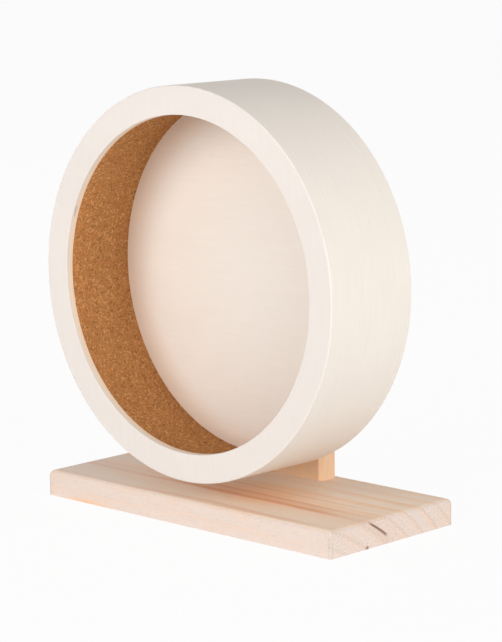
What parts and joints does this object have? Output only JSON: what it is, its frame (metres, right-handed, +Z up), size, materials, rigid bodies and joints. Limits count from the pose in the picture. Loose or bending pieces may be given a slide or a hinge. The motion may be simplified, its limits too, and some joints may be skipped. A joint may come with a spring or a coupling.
{
  "type": "rodent exercise wheel",
  "caption": "Wooden running wheel for small rodents: an open plywood drum lined with cork, turning on a hidden ball-bearing axle in an upright on a flat base board.",
  "frame": {"origin": "centre of the base board's underside, which is also the bottom centre of the whole object", "axes": "+Z up, -Y out of the drum's open mouth, the axle along Y, +X to the right seen from the mouth"},
  "size_m": [0.282, 0.129, 0.3113],
  "materials": {
    "drum_ply": "sanded, unfinished",
    "hoop_ply": "sanded, unfinished",
    "facing_ply": "sanded, unfinished",
    "cork": "fine agglomerated cork, matte",
    "pine": "planed, unfinished",
    "turned_beech": "turned, unfinished",
    "zinc_hardware": "bright zinc plate",
    "zinc_screw": "zinc plate",
    "bearing_steel": "ground steel",
    "nylon_cage": "moulded nylon"
  },
  "bodies": {
    "stand": {"base_board": "pine", "upright": "pine", "base_screws": "zinc_screw", "dowels": "turned_beech", "axle_bolt": "zinc_hardware", "head_washer": "zinc_hardware", "bearing_spacer": "zinc_hardware", "rear_washer": "zinc_hardware", "thin_nut": "zinc_hardware", "wide_washer": "zinc_hardware", "axle_nut": "zinc_hardware", "front_bearing_inner_ring": "bearing_steel", "rear_bearing_inner_ring": "bearing_steel"},
    "wheel": {"mouth_ring": "drum_ply", "outer_hoop": "hoop_ply", "liner_hoop": "drum_ply", "cork_lining": "cork", "facing_disc": "facing_ply", "back_disc": "drum_ply", "hub": "turned_beech", "hub_screws": "zinc_screw", "front_bearing_outer_ring": "bearing_steel", "front_bearing_shields": "bearing_steel", "rear_bearing_outer_ring": "bearing_steel", "rear_bearing_shields": "bearing_steel"},
    "front_ball_set": {"front_bearing_balls": "bearing_steel", "front_bearing_cage": "nylon_cage"},
    "rear_ball_set": {"rear_bearing_balls": "bearing_steel", "rear_bearing_cage": "nylon_cage"}
  },
  "joints": [
    {"name": "wheel_spin", "type": "hinge", "parent": "stand", "child": "wheel", "pos_m": [0, 0.0206, 0.1713], "axis": [0, 1, 0], "continuous": true},
    {"name": "front_cage_spin", "type": "hinge", "parent": "stand", "child": "front_ball_set", "pos_m": [0, 0.0251, 0.1713], "axis": [0, 1, 0], "continuous": true},
    {"name": "rear_cage_spin", "type": "hinge", "parent": "stand", "child": "rear_ball_set", "pos_m": [0, 0.0335, 0.1713], "axis": [0, 1, 0], "continuous": true}
  ],
  "couplings": [
    {"joint": "front_cage_spin", "follows": "wheel_spin", "ratio": 0.62774},
    {"joint": "rear_cage_spin", "follows": "wheel_spin", "ratio": 0.62774}
  ]
}
